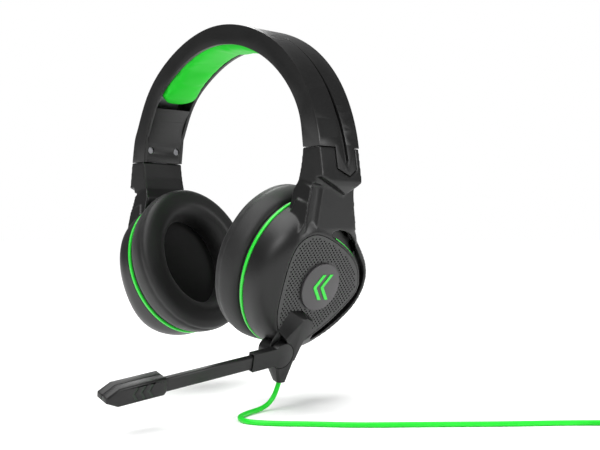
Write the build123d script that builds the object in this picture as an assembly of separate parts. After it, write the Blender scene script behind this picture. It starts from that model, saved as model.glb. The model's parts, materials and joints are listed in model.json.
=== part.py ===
from build123d import *
import os
from math import atan2, cos, hypot, pi, radians, sin, tan

# A wired over-ear gaming headset, in millimetres. +Z is up, the wearer faces -Y and +X is
# the wearer's left, where the microphone and the cord are. The origin is midway between
# the ears, at the height of the middle of the ear cups.

# ---- driving dimensions ---------------------------------------------------------------
FIT = 0.3                      # gap between faces of two bodies that pass each other
SNUG = 0.1                     # gap between faces of one body that seat on each other
WALL = 2.2                     # wall of every moulded shell

CUP_X, CUP_Y = 55.5, -1.9      # middle of the accent ring of the left cup
CUP_TILT = 18.7                # the lower edge of each cup leans in by this angle, degrees
RING_W, RING_H = 39.1, 44.7    # half width and half height of the accent ring
RING_T = 2.0                   # thickness of the accent ring
CUP_DEPTH = 22.0               # from the ring's middle to the face of the grille
RIM = [(33.3, -1), (27, 12), (13.5, 22.2), (-1, 28.6), (-13.5, 30.5), (-23, 25.5),
       (-28, 12), (-29, -5), (-27.6, -20), (-21, -31.5), (-9, -36.5), (4, -31.5),
       (17, -22.5), (28, -12)]  # outline of the cup's outer face, from the rear round the top
SHOULDER = [(1.0, 0.0), (8.0, 0.04), (14.0, 0.18), (19.0, 0.55), (22.0, 1.0)]
GRILLE_T, GRILLE_LAND = 1.2, 2.6
GRILLE_INSET = 1.3             # from the rim of the cup to the edge of the grille
BADGE_R, BADGE_T = 14.2, 1.6
BADGE_A, BADGE_B = 0.2, -1.3   # middle of the badge on the cup's face
MARK_T = 0.4

PAD_W, PAD_H = 42.3, 47.6      # ear pad at its widest
PAD_HOLE_W, PAD_HOLE_H = 20.9, 26.4
PAD_DEPTH = 25.0               # from the ring's middle to the crown of the pad
PAD_WIDEST = 19.5
PAD_RING_T = 1.8
DRIVER_R = 20.0                # a 40 mm driver
MAGNET_R, MAGNET_T = 10.5, 5.0
BAFFLE_T = 2.0
SCREW_R, SCREW_HEAD_R = 1.1, 2.2

BAND_HALF = 15.8               # half width of the headband, front to rear
BAND_Z = 65.1                  # centre of the polar outline of the headband
BAND_OUT = [(0, 85.4), (20, 85.5), (40, 87.0), (60, 88.6), (73, 89.5)]
BAND_IN = [(0, 73.4), (20, 73.6), (40, 75.0), (60, 77.2), (73, 78.0)]
BAND_END_Z = 70.5
BAND_END_OUT, BAND_END_IN = 90.8, 77.3
SLIDE_LEAN = 8.0               # the arms leave the band at this angle from upright, degrees
SLIDE_TRAVEL = 20.0
SPRING_T, SPRING_HALF = 0.8, 9.0
HEAD_PAD_END = 56.0            # the head cushion reaches this far round from the top, degrees
HEAD_PAD_PROUD = 2.5
SKIN = 2.4                     # thickness of the band's outer skin
GROOVE_DEEP, GROOVE_HALF = 1.6, 1.9
TONGUE_T = 2.4
TONGUE = [(-3.4, 72.0), (-3.2, 58.4), (6.0, 54.4), (11.6, 58.2), (11.5, 72.0)]
BAR_HALF, BAR_T = 6.0, 1.4     # steel slider bar
ARM_FRONT, ARM_REAR = -16.2, 15.6
CAP_EDGE = [(-17.5, 53.6), (-13.5, 52.0), (6.0, 43.8), (15.5, 50.5), (17.5, 52.0)]
YOKE = [(17.2, 44), (18.4, 35), (24.5, 27.2), (33.5, 17.8), (40.3, 8.2), (42.7, -1.5),
        (39.7, -12.8), (29.6, -24.6), (18.9, -32.3), (8.1, -37.2), (-2, -39.6)]
YOKE_WALL = 2.4
WINDOW = [(2.5, 31.0), (6.5, 31.9), (11.2, 31.6), (16, 30.1), (20.2, 27.4), (28.0, 19.6),
          (34.2, 12.6)]        # upper edge of the open groove between the rim and the yoke
WINDOW_FLOOR, RIM_LIP = 14.0, 0.8
APRON_TOP, YOKE_FALL = 21.2, 33.0   # face of the arm's foot, and where the yoke's face starts
YOKE_LOW, YOKE_TOP = 9.5, 18.6

PIVOT_A, PIVOT_B = -20.8, -40.4    # microphone pivot on the cup's face
HUB_R, POST_R = 7.4, 5.6
BOOM_IN, BOOM_OUT = 22.6, 27.4     # inner and outer faces of the boom above the ring
BOOM_DROP = 7.0                    # the boom points down by this angle at rest, degrees
BOOM_SWING = 60.0
SLEEVE_HALF, SLEEVE_END = 5.3, 21.5
ARM_HALF, BOOM_LENGTH = 4.0, 78.0
MIC_LENGTH, MIC_HALF = 35.5, 5.1
MIC_IN, MIC_OUT = 17.6, 27.8
PIN_R = 1.5
PORT_W, PORT_DEEP = 1.3, 0.7

BOSS_INSET = 4.6               # screw bosses stand this far inside the ring
BAR_DEEP = 9.0                 # middle of the slider bar under the band's outer face
BAR_IN_ARM, BAR_IN_BAND = 16.0, 29.0
SPRING_END_Z = 106.0           # the flat spring ends above the slider bars
RUN = 0.1                      # running gap of the bar in its guide, each side
GUIDE_LENGTH, GUIDE_WALL = 7.0, 1.4
DETENTS = 8
REAR_ACCENT_C, REAR_ACCENT_T, REAR_ACCENT_PROUD = 18.8, 1.0, 0.7

TAIL_A, TAIL_C = -16.9, 25.0       # axis of the cable in the tail, on the cup's frame
TAIL_HALF, TAIL_IN = 3.0, 21.6

WHEEL_R, WHEEL_T = 9.0, 2.4
WHEEL_PROUD = 1.8
WHEEL_C = 5.2                      # middle of the wheel above the ring
SHAFT_R = 1.2

CORD_D = 2.8
FLOOR_Z = -78.0
COIL_TURNS_WIDE, COIL_LAYERS = 4, 4
COIL_R_IN = 12.6                   # middle of the innermost turn
PLUG_R, PLUG_LENGTH = 3.2, 17.0
PLUG_BOOT = 8.0
PLUG_AT, PLUG_HEADING = (-12.8, 3.8), 50.0   # start of the plug from the coil's middle; degrees
JACK_R, JACK_LENGTH = 1.75, 14.0

# The cord's route, chosen by hand: out of the cable tail, down, and along the floor.
CORD_Z = FLOOR_Z + CORD_D / 2
ROUTE = [(60.9, -18.8, -62.0), (59.9, -19.6, -66.4), (59.2, -22.0, -71.6),
         (59.2, -27.0, -75.4), (60.6, -34.5, CORD_Z), (64.0, -45.5, CORD_Z),
         (70.6, -57.5, CORD_Z), (83.0, -63.0, CORD_Z), (96.0, -56.0, CORD_Z),
         (110.0, -43.0, CORD_Z), (130.5, -26.5, CORD_Z), (152.0, -0.5, CORD_Z),
         (178.0, 28.0, CORD_Z), (203.0, 60.0, CORD_Z), (231.0, 88.0, CORD_Z)]

CUP = Plane(origin=(CUP_X, CUP_Y, 0), x_dir=(0, 1, 0),
            z_dir=(cos(radians(CUP_TILT)), 0, -sin(radians(CUP_TILT))))
SLIDE = Vector(sin(radians(SLIDE_LEAN)), 0, -cos(radians(SLIDE_LEAN)))
PARTS = {}


# ---- helpers --------------------------------------------------------------------------
def keep(name, shape):
    """Files one finished sub-part under its node name."""
    PARTS[name] = shape


def on_cup(shape):
    """Moves a shape from the left cup's own frame (rear, up, outward) to its place."""
    return CUP.location * shape


def both_sides(name, shape):
    """Keeps a left sub-part and its mirror image for the right ear."""
    keep(name + "_left", shape)
    keep(name + "_right", mirror(shape, about=Plane.YZ))


def main_solid(shape):
    """The one body of a shape, without the loose faces that a tangent cut can leave."""
    return shape.solids().sort_by(SortBy.VOLUME)[-1]


def slab(points, low, high):
    """A closed outline of straight edges in the cup's frame, raised from low to high."""
    face = make_face(Polyline(*points, close=True))
    return extrude(Pos(0, 0, low) * face, high - low)


def disc(radius, low, high, a=0.0, b=0.0):
    """A cylinder that stands on the cup's face."""
    return Pos(a, b, (low + high) / 2) * Cylinder(radius, high - low)


def oval(half_w, half_h, low, high):
    """An elliptical plate that is parallel to the cup's face."""
    return extrude(Pos(0, 0, low) * Ellipse(half_w, half_h), high - low)


def cup_outline(height, blend, grow=0.0):
    """A section of the cup: the ring's ellipse at blend 0, the face's outline at 1."""
    points = []
    for a, b in RIM:
        turn = atan2(b / RING_H, a / RING_W)
        x = RING_W * cos(turn) * (1 - blend) + a * blend
        y = RING_H * sin(turn) * (1 - blend) + b * blend
        size = 1 + grow / hypot(x, y)
        points.append((x * size, y * size))
    return Pos(0, 0, height) * make_face(Spline(*points, periodic=True))


def rim_plate(low, high, grow):
    """A plate with the outline of the cup's outer face."""
    return extrude(cup_outline(low, 1.0, grow), high - low)


def cup_solid(grow=0.0, low=SHOULDER[0][0], high=CUP_DEPTH):
    """The solid form of the cup's housing, grown or shrunk."""
    sections = [cup_outline(low, 0.0, grow)]
    sections += [cup_outline(c, t, grow) for c, t in SHOULDER[1:] if c < high]
    if high == CUP_DEPTH:
        sections.append(cup_outline(CUP_DEPTH, 1.0, grow))
    return loft(sections)


def band_curve(radii, end_x, inward=0.0):
    """Half of a headband outline, from the top to the left end, as points in XZ."""
    points = []
    for angle, radius in radii:
        turn = radians(angle)
        points.append(((radius - inward) * sin(turn), BAND_Z + (radius - inward) * cos(turn)))
    points.append((end_x - inward, BAND_END_Z))
    return points


def band_edge(radii, end_x, inward=0.0):
    """A whole headband outline as one smooth edge, from the left end to the right."""
    half = band_curve(radii, end_x, inward)
    whole = half[::-1] + [(-x, z) for x, z in half[1:]]
    lean = (-sin(radians(SLIDE_LEAN)), cos(radians(SLIDE_LEAN)))
    return Spline(*whole, tangents=(lean, (lean[0], -lean[1])))


def band_solid(outer, inner, half):
    """A headband layer between two outlines, as wide as 2 x half from front to rear."""
    face = make_face(outer + Line(outer @ 1, inner @ 1) + inner + Line(inner @ 0, outer @ 0))
    return extrude(Plane.XZ * face, half, both=True)


def front_slab(points, low_y, high_y):
    """An outline in XZ, as seen from the front, extruded from low_y to high_y."""
    face = Plane.XZ * make_face(Polyline(*points, close=True))
    return Pos(0, high_y, 0) * extrude(face, high_y - low_y)


def side_slab(points, low_x, high_x):
    """An outline in YZ, as seen from the side, extruded from low_x to high_x."""
    face = Plane.YZ * make_face(Polyline(*points, close=True))
    return Pos(low_x, 0, 0) * extrude(face, high_x - low_x)


# ---- headband -------------------------------------------------------------------------
def headband():
    outer = band_edge(BAND_OUT, BAND_END_OUT)
    inner = band_edge(BAND_IN, BAND_END_IN)
    shell = band_solid(outer, inner, BAND_HALF)
    skin_low = band_edge(BAND_OUT, BAND_END_OUT, SKIN)
    below = band_edge(BAND_IN, BAND_END_IN, 6.0)
    shell -= band_solid(skin_low, below, BAND_HALF - WALL)
    # tongues that lie over the arms, with a groove that runs down from the crown
    face_lean = sin(radians(SLIDE_LEAN)) / cos(radians(SLIDE_LEAN))
    low_z = TONGUE[2][1]
    out_low = BAND_END_OUT + face_lean * (BAND_END_Z - low_z)
    top_z = BAND_END_Z + 2.0
    out_top = BAND_END_OUT - face_lean * 2.0
    tongue = front_slab([(out_top, top_z), (out_low, low_z), (out_low - TONGUE_T, low_z),
                         (out_top - TONGUE_T, top_z)], -BAND_HALF, BAND_HALF)
    tongue &= side_slab(TONGUE, 60, 120)
    groove = groove_cut(outer)
    for side in (tongue, mirror(tongue, about=Plane.YZ)):
        shell += side
    for side in (groove, mirror(groove, about=Plane.YZ)):
        shell -= side
    keep("headband_shell", shell)
    end_plates(inner)
    spring_and_wire()
    head_cushion()


def groove_cut(outer):
    """The long pointed groove down the outside of one half of the band and its tongue."""
    face_lean = tan(radians(SLIDE_LEAN))
    low_z = TONGUE[2][1] + 6.0
    deep = band_edge(BAND_OUT, BAND_END_OUT, GROOVE_DEEP)
    proud = band_edge(BAND_OUT, BAND_END_OUT, -3.0)
    cut = band_solid(proud, deep, 8.0)
    drop = BAND_END_Z - low_z + 2.0
    low_x = BAND_END_OUT - GROOVE_DEEP + face_lean * drop
    top_x = BAND_END_OUT - GROOVE_DEEP
    cut += front_slab([(top_x, BAND_END_Z), (low_x, BAND_END_Z - drop),
                       (low_x + 8, BAND_END_Z - drop), (top_x + 8, BAND_END_Z)], -8, 8)
    middle = (TONGUE[1][0] + TONGUE[3][0]) / 2
    plan = [(0.0, 140.5), (middle - GROOVE_HALF, low_z + 2.5), (middle, low_z),
            (middle + GROOVE_HALF, low_z + 2.5)]
    return cut & side_slab(plan, 30, 120)


def end_plates(inner):
    """The inner covers of the band's ends, each held by two screws."""
    plate_out = band_edge(BAND_IN, BAND_END_IN, -WALL)
    plate = band_solid(plate_out, inner, BAND_HALF - WALL - SNUG)
    top_z = BAND_Z + BAND_IN[0][1] * cos(radians(HEAD_PAD_END + 0.3))
    plate &= Pos(80, 0, BAND_END_Z + (top_z - BAND_END_Z) / 2) * Box(60, 60, top_z - BAND_END_Z)
    screws = []
    for y in (-10.5, 10.5):
        spot = Plane(origin=(BAND_END_IN + 0.4, y, BAND_END_Z + 8.0), z_dir=(-1, 0, 0.06))
        head = spot.location * Pos(0, 0, -0.2) * Cylinder(SCREW_HEAD_R, 1.2)
        shank = spot.location * Pos(0, 0, -3.0) * Cylinder(SCREW_R, 5.0)
        screws.append(head + shank)
        plate -= spot.location * Pos(0, 0, 0.6) * Cylinder(SCREW_HEAD_R + SNUG, 2.8)
        plate -= spot.location * Pos(0, 0, -3.0) * Cylinder(SCREW_R + SNUG, 8.0)
    both_sides("band_end_cover", plate)
    both_sides("band_end_screws", Compound(children=screws))


def spring_and_wire():
    """The flat spring that gives the band its grip, and the lead to the right ear."""
    gap = SKIN + SNUG
    top = band_edge(BAND_OUT, BAND_END_OUT, gap)
    low = band_edge(BAND_OUT, BAND_END_OUT, gap + SPRING_T)
    above = Pos(0, 0, SPRING_END_Z + 50) * Box(220, 60, 100)
    keep("headband_spring", band_solid(top, low, SPRING_HALF) & above)
    wire_top = band_edge(BAND_OUT, BAND_END_OUT, gap)
    wire_low = band_edge(BAND_OUT, BAND_END_OUT, gap + 1.2)
    wire = band_solid(wire_top, wire_low, 0.6)
    keep("crossover_lead", Pos(0, -SPRING_HALF - 2.0, 0) * wire)


def head_cushion():
    """The cushion under the crown, which fills the channel of the band."""
    top = band_edge(BAND_OUT, BAND_END_OUT, SKIN + SPRING_T + 0.6)
    low = band_edge(BAND_IN, BAND_END_IN, HEAD_PAD_PROUD)
    pad = band_solid(top, low, BAND_HALF - WALL - 0.6)
    cut_z = BAND_Z + BAND_IN[0][1] * cos(radians(HEAD_PAD_END))
    pad &= Pos(0, 0, cut_z + 50) * Box(200, 60, 100)
    keep("head_cushion", pad)


# ---- ear cups -------------------------------------------------------------------------
def arm_solid():
    """The arm above the cup: a neck, and a cap that the band's tongue lies on."""
    top_z = BAND_END_Z - FIT
    neck = front_slab([(77.6, top_z), (89.4, top_z), (90.3, 60.0),
                       (87.4, 47.0), (86.7, 41.0), (86.6, 34.0), (85.9, 24.0), (73.5, 24.0),
                       (70.6, 38.0), (70.9, 46.5), (74.0, 52.5), (76.1, 60.4)],
                      ARM_FRONT, ARM_REAR)
    flare = side_slab([(ARM_FRONT, 72), (ARM_FRONT, 52), (-20.4, 36), (-22, 24), (18.8, 24),
                       (17.2, 33), (ARM_REAR, 43), (ARM_REAR, 72)], 60, 100)
    wide = front_slab([(74.0, 52.5), (87.4, 47.0), (86.6, 34.0), (85.9, 24.0), (73.5, 24.0),
                       (70.6, 38.0), (70.9, 46.5)], -23, 26)
    neck = neck + (wide & flare)
    lean = tan(radians(SLIDE_LEAN))
    cap_x = BAND_END_OUT
    cap = front_slab([(cap_x - 4.0, top_z), (cap_x, top_z),
                      (cap_x + lean * 19.0, BAND_END_Z - 19.0), (cap_x + 2.2, 48.5),
                      (cap_x - 1.5, 43.4), (cap_x - 6.0, 43.4)], ARM_FRONT, ARM_REAR)
    cap &= side_slab([(-20, 72)] + CAP_EDGE + [(20, 72)], 60, 120)
    arm = neck + cap
    # the recess that the tongue lies in, open at the top
    grown = [(TONGUE[0][0] - FIT, 74), (TONGUE[1][0] - FIT, TONGUE[1][1] - FIT),
             (TONGUE[2][0], TONGUE[2][1] - 0.5), (TONGUE[3][0] + FIT, TONGUE[3][1] - FIT),
             (TONGUE[4][0] + FIT, 74)]
    floor_x = cap_x - TONGUE_T - FIT
    recess = front_slab([(floor_x - lean * 4, 74.5), (floor_x + lean * 20, 50.5),
                         (floor_x + lean * 20 + 9, 50.5), (floor_x - lean * 4 + 9, 74.5)],
                        -17, 17)
    return arm - (recess & side_slab(grown, 60, 120))


def apron():
    """The foot of the arm, which spreads over the top of the cup and into the yoke."""
    plan = [(ARM_FRONT - 2, 46), (17.6, 46), (18.6, 35), (24.5, 27.2), (28, 12), (0, 8), (-24, 14),
            (-25.5, 25), (-21, 35)]
    body = slab(plan, 6.0, 30.0)
    body &= side_slab([(60, 5), (60, 12.6), (52.6, 15.1), (42.2, 18.5), (32.5, APRON_TOP),
                       (-60, APRON_TOP), (-60, 5)], -60, 60)
    return body & front_slab([(-60, 5), (-60, 14.0), (-23.0, APRON_TOP - 1.0),
                              (-17.0, APRON_TOP), (16.0, APRON_TOP), (YOKE_FALL, YOKE_TOP),
                              (60, YOKE_TOP), (60, 5)], -60, 60)


def valley_cut():
    """The hollow that runs from the cap's front corner down to the cup's rim."""
    start = Vector(-12.0, 58.0, 18.4)
    end = Vector(-16.5, 30.0, 26.2)
    axis = Plane(origin=(start + end) / 2, z_dir=end - start)
    return axis.location * Cylinder(6.2, (end - start).length)


def sampled(curve, count):
    """Points at even steps along an edge, as (rear, up) pairs."""
    spots = [curve @ (step / count) for step in range(count + 1)]
    return [(spot.X, spot.Y) for spot in spots]


def rim_slab(grow, low, high):
    """A plate of straight edges that follows the outline of the cup's face."""
    points = sampled(Spline(*RIM, periodic=True), 72)[:-1]
    grown = []
    for a, b in points:
        size = 1 + grow / hypot(a, b)
        grown.append((a * size, b * size))
    return slab(grown, low, high)


def window_slab(low, high, lip):
    """The groove between the rim and the yoke, from its upper corner to the lower slit."""
    edge = list(WINDOW)
    for a, b in YOKE[4:]:
        size = 1 - YOKE_WALL / hypot(a, b)
        edge.append((a * size, b * size))
    points = sampled(Spline(*edge), 60)
    points = [(a, b) for a, b in points if b > 0 or a > 4.0]
    return slab(points + [(3.0, -20), (0, 0), (2.0, 26.0)], low, high) - rim_slab(lip, 0, 40)


def yoke_solid():
    """The blade that runs from the arm round the rear of the cup to its lower edge."""
    points = sampled(Spline(*YOKE), 60)
    return slab(points + [(0, -20), (0, 20)], YOKE_LOW, YOKE_TOP)


def boss_at(a, b):
    """One screw boss inside the housing."""
    return disc(3.0, RING_T / 2 + BAFFLE_T + SNUG, 14.0, a, b)


def slide_plane():
    """A frame in the middle of the arm's top, with its Z down along the slide."""
    middle = Vector(BAND_END_OUT - BAR_DEEP, 0, BAND_END_Z)
    return Plane(origin=middle, x_dir=(cos(radians(SLIDE_LEAN)), 0, sin(radians(SLIDE_LEAN))),
                 z_dir=SLIDE)


def slide_channel():
    """The slot that holds the slider bar in the arm."""
    slot = Box(BAR_T + 2 * SNUG, 2 * (BAR_HALF + SNUG), 2 * BAR_IN_ARM)
    return slide_plane().location * slot


def slider_bar():
    """The steel bar that is fixed in the arm and slides in the band."""
    length = BAR_IN_ARM + BAR_IN_BAND
    bar = Pos(0, 0, BAR_IN_ARM - SNUG - length / 2) * Box(BAR_T, 2 * BAR_HALF, length)
    for step in range(DETENTS):
        notch = Pos(0, BAR_HALF, 4.0 - BAR_IN_BAND + step * SLIDE_TRAVEL / DETENTS)
        bar -= notch * Rot(0, 90, 0) * Cylinder(0.8, 4)
    return slide_plane().location * bar


def bar_guide():
    """The plastic guide that is fixed in the band's end and that the bar slides in."""
    block = Pos(0, 0, -GUIDE_LENGTH / 2 - 1.0) * Box(
        BAR_T + 2 * GUIDE_WALL, 2 * BAR_HALF + 5.0, GUIDE_LENGTH)
    block -= Box(BAR_T + 2 * RUN, 2 * (BAR_HALF + RUN), 4 * GUIDE_LENGTH)
    return slide_plane().location * block


def ear_housing():
    """One housing moulded with its arm and its yoke, hollow and open at both faces."""
    outside = cup_solid()
    arm = CUP.location.inverse() * (arm_solid() - slide_channel())
    arm -= oval(RING_W + 6, RING_H + 0.6, -60, SHOULDER[0][0])
    shell = outside + ((arm + apron()) - valley_cut()) + yoke_solid()
    hollow = cup_solid(-WALL, low=0.0, high=19.5)
    hollow -= window_slab(WINDOW_FLOOR - WALL, 20.0, RIM_LIP - WALL)
    shell -= hollow
    shell -= window_slab(WINDOW_FLOOR, 30.0, RIM_LIP)
    shell -= rim_plate(15.0, CUP_DEPTH + 1, -GRILLE_INSET - GRILLE_LAND)
    shell -= rim_plate(CUP_DEPTH - GRILLE_T - SNUG, CUP_DEPTH + 9, -GRILLE_INSET + SNUG)
    for a, b in boss_places():
        shell = main_solid(shell) + (boss_at(a, b) & outside)
        shell = main_solid(shell) - disc(SCREW_R, 0, 12.0, a, b)
    return main_solid(shell)


def chevron(tip, reach, half, width):
    """An arrowhead outline that points to the front, with its tip at tip."""
    return [(tip, 0), (tip + reach, half), (tip + reach + width, half), (tip + width, 0),
            (tip + reach + width, -half), (tip + reach, -half)]


def cup_face():
    """The grille, the badge with its mark, and the two accents of a cup."""
    ring = oval(RING_W + 0.35, RING_H + 0.35, -RING_T / 2, RING_T / 2)
    ring -= oval(RING_W - 2.2, RING_H - 2.2, -RING_T, RING_T)
    both_sides("accent_ring", on_cup(ring))
    grille = rim_plate(CUP_DEPTH - GRILLE_T, CUP_DEPTH, -GRILLE_INSET)
    grille -= disc(BADGE_R - 3.0, 0, 40, BADGE_A, BADGE_B)
    both_sides("grille", on_cup(grille))
    top = CUP_DEPTH + BADGE_T
    badge = disc(BADGE_R, CUP_DEPTH, top, BADGE_A, BADGE_B)
    badge += disc(BADGE_R - 3.0 - SNUG, CUP_DEPTH - 2.0, CUP_DEPTH, BADGE_A, BADGE_B)
    both_sides("badge", on_cup(badge))
    marks = [Pos(BADGE_A, BADGE_B, top) * slab(chevron(tip, 5.6, 7.6, 2.6), 0, MARK_T)
             for tip in (-6.4, -0.8)]
    both_sides("badge_mark", on_cup(Compound(children=marks)))


def rear_accent():
    """The thin strip on the wall of the groove, behind the upper rear edge of the rim."""
    strip = rim_slab(RIM_LIP + REAR_ACCENT_PROUD, REAR_ACCENT_C, REAR_ACCENT_C + REAR_ACCENT_T)
    strip -= rim_slab(RIM_LIP, 0, 40)
    strip &= slab([(7.0, 20), (60, -10), (60, 60), (7.0, 60)], 0, 30)
    both_sides("rear_accent", on_cup(strip))


def boss_places():
    """Where the four screws of the baffle stand, in the cup's frame."""
    places = []
    for angle in (42, 138, 222, 318):
        turn = radians(angle)
        places.append(((RING_W - BOSS_INSET) * cos(turn), (RING_H - BOSS_INSET) * sin(turn)))
    return places


def driver_set():
    """The baffle with the driver in it, its screws, and the scrim over it."""
    low = RING_T / 2
    baffle = oval(RING_W - WALL - 0.4, RING_H - WALL - 0.4, low, low + BAFFLE_T)
    baffle -= disc(DRIVER_R - 2.0, -5, 9)
    screws = []
    for a, b in boss_places():
        baffle -= disc(SCREW_R + SNUG, -5, 9, a, b)
        screws.append(disc(SCREW_HEAD_R, low - 1.3, low, a, b) + disc(SCREW_R, low, 11.0, a, b))
    both_sides("baffle", on_cup(baffle))
    both_sides("baffle_screws", on_cup(Compound(children=screws)))
    basket = disc(DRIVER_R, low + BAFFLE_T, low + BAFFLE_T + 1.6)
    basket += Pos(0, 0, low + BAFFLE_T + 3.6) * Cone(DRIVER_R - 3.0, MAGNET_R + 1.5, 4.0)
    basket -= disc(DRIVER_R - 4.0, -5, low + BAFFLE_T + 1.6)
    basket -= Pos(0, 0, low + BAFFLE_T + 3.6) * Cone(DRIVER_R - 4.2, MAGNET_R, 4.1)
    both_sides("driver_basket", on_cup(basket))
    magnet_low = low + BAFFLE_T + 5.6 + SNUG
    both_sides("driver_magnet", on_cup(disc(MAGNET_R + 1.4, magnet_low, magnet_low + MAGNET_T)))
    dome = Pos(0, 0, low + BAFFLE_T + 1.0) * Cone(DRIVER_R - 4.2, 4.0, 1.8)
    dome -= Pos(0, 0, low + BAFFLE_T + 0.6) * Cone(DRIVER_R - 4.2, 4.0, 1.8)
    both_sides("diaphragm", on_cup(dome))


def ear_cushion():
    """The ear pad, the ring that clips it on, and the scrim inside its hole."""
    low = RING_T / 2
    clip = oval(RING_W - 0.8, RING_H - 0.8, -low - PAD_RING_T, -low)
    clip -= oval(PAD_HOLE_W + 3.0, PAD_HOLE_H + 3.0, -10, 0)
    both_sides("pad_clip_ring", on_cup(clip))
    base = -low - PAD_RING_T - SNUG
    scrim = oval(PAD_HOLE_W + 4.5, PAD_HOLE_H + 4.5, base - 0.6, base)
    both_sides("scrim", on_cup(scrim))
    sections = [(base, RING_W - 0.6, RING_H - 0.6), (-10.0, 40.9, 46.3),
                (-PAD_WIDEST, PAD_W, PAD_H), (-PAD_DEPTH + 1.6, PAD_W - 2.6, PAD_H - 2.6),
                (-PAD_DEPTH, PAD_W - 7.5, PAD_H - 7.5)]
    pad = loft([Pos(0, 0, c) * Ellipse(w, h) for c, w, h in sections])
    hole = [(base + 1, PAD_HOLE_W + 5.0, PAD_HOLE_H + 5.0), (base - 2.0, PAD_HOLE_W + 4.8,
            PAD_HOLE_H + 4.8), (-14.0, PAD_HOLE_W, PAD_HOLE_H),
            (-PAD_DEPTH - 1, PAD_HOLE_W + 5.0, PAD_HOLE_H + 5.0)]
    pad -= loft([Pos(0, 0, c) * Ellipse(w, h) for c, w, h in hole])
    both_sides("ear_pad", on_cup(pad))


def ears():
    both_sides("ear_housing", on_cup(ear_housing()))
    rear_accent()
    both_sides("slider_bar", slider_bar())
    both_sides("slider_guide", bar_guide())
    cup_face()
    driver_set()
    ear_cushion()


# ---- microphone -----------------------------------------------------------------------
def boom_frame(height):
    """A frame at the pivot whose X runs out along the boom."""
    drop = radians(BOOM_DROP)
    return Plane(origin=(PIVOT_A, PIVOT_B, height), x_dir=(-cos(drop), -sin(drop), 0),
                 z_dir=(0, 0, 1)).location


def boom_bar(start, end, half, low, high):
    """A straight stretch of the boom, from start to end along it."""
    block = Pos((start + end) / 2, 0, (high - low) / 2) * Box(end - start, 2 * half, high - low)
    return boom_frame(low) * block


def sweep_gap():
    """The room that the sleeve needs in the bracket, from rest to fully raised."""
    gap = disc(HUB_R + FIT, BOOM_IN - FIT, BOOM_OUT + 5, PIVOT_A, PIVOT_B)
    steps = 6
    for step in range(steps + 1):
        turn = -BOOM_SWING * step / steps
        block = Pos(30, 0, 5) * Box(60, 2 * (SLEEVE_HALF + FIT), 10)
        gap += boom_frame(BOOM_IN - FIT) * Rot(0, 0, turn) * block
    return gap


def bracket():
    """The bracket on the left cup: a spine over the grille, the pivot and the cable tail."""
    foot = [(-18.0, -15.4), (-8.5, -15.6), (1.0, -21.5), (0.5, -30), (-6, -35), (-10, -44),
            (-25, -44), (-27.5, -34)]
    face = [(-11.0, -19.5), (-8.5, -18.5), (-3.5, -21.0), (-2.8, -27.5), (-7.5, -32.0),
            (-11.2, -44), (-24.8, -44), (-26.5, -35.0)]
    low = make_face(Polyline(*foot, close=True))
    top = make_face(Polyline(*face, close=True))
    spine = loft([Pos(0, 0, CUP_DEPTH) * low, Pos(0, 0, BOOM_OUT) * top], ruled=True)
    root = slab([(-22.5, -28), (-5, -31), (-9.5, -43), (-18.0, -45)], 12.0, CUP_DEPTH)
    root += disc(POST_R, 12.0, CUP_DEPTH, PIVOT_A, PIVOT_B)
    upper = Pos(0, -43.9, 0) * make_tail_face(-25.0, -11.0, 13.0)
    lower = Pos(0, -57.0, 0) * make_tail_face(TAIL_A - TAIL_HALF, TAIL_A + TAIL_HALF, TAIL_IN)
    body = spine + root + loft([upper, lower], ruled=True)
    body -= sweep_gap()
    body -= cup_solid(0.05, low=0.0)
    body -= disc(PIN_R, 5, BOOM_OUT + 1, PIVOT_A, PIVOT_B)
    return body


def make_tail_face(left, right, inner):
    """A level section of the cable tail, in the cup's frame."""
    outline = [(left, inner + 1.5), (left, BOOM_OUT - 1.0), (left + 1.5, BOOM_OUT),
               (right - 1.0, BOOM_OUT), (right, BOOM_OUT - 1.0), (right, inner + 1.5),
               (right - 1.5, inner), (left + 1.5, inner)]
    face = make_face(Polyline(*outline, close=True))
    return Rot(90, 0, 0) * face


def microphone():
    """The boom with its hub and pin, and the capsule housing at its end."""
    keep("boom_bracket", on_cup(bracket()))
    hub = disc(HUB_R, BOOM_IN, BOOM_OUT, PIVOT_A, PIVOT_B)
    sleeve = hub + boom_bar(0, SLEEVE_END, SLEEVE_HALF, BOOM_IN, BOOM_OUT)
    sleeve -= boom_bar(SLEEVE_END - 1.6, SLEEVE_END + 5, SLEEVE_HALF - 0.9, BOOM_IN + 0.5,
                       BOOM_OUT - 0.5)
    sleeve -= boom_bar(SLEEVE_END - 10, SLEEVE_END + 5, ARM_HALF - 1.0, BOOM_IN + 1.1,
                       BOOM_OUT - 1.1)
    sleeve -= disc(PIN_R, BOOM_IN - 1, BOOM_OUT - 1.2, PIVOT_A, PIVOT_B)
    keep("boom_sleeve", on_cup(sleeve))
    pin = disc(PIN_R - 0.05, 16.0, BOOM_OUT - 1.3, PIVOT_A, PIVOT_B)
    keep("boom_pin", on_cup(pin))
    start = SLEEVE_END - 1.5
    bar = boom_bar(start, BOOM_LENGTH, ARM_HALF, BOOM_IN + 0.6, BOOM_OUT - 0.6)
    bar = chamfer(bar.edges().filter_by(lambda e: e.length > 40), 0.7)
    bar += boom_bar(SLEEVE_END - 9.5, start, ARM_HALF - 1.05, BOOM_IN + 1.15, BOOM_OUT - 1.15)
    keep("boom_arm", on_cup(bar))
    mic_head()


def mic_outline(grow=0.0):
    """The side outline of the microphone head along the boom."""
    start, end = BOOM_LENGTH - grow, BOOM_LENGTH + MIC_LENGTH + grow
    half = MIC_HALF + grow
    return [(start, -half + 1.5), (start + 1.5, -half), (end - 7.0, -half), (end, -1.5),
            (end, 1.5), (end - 7.0, half), (start + 1.5, half), (start, half - 1.5)]


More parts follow.
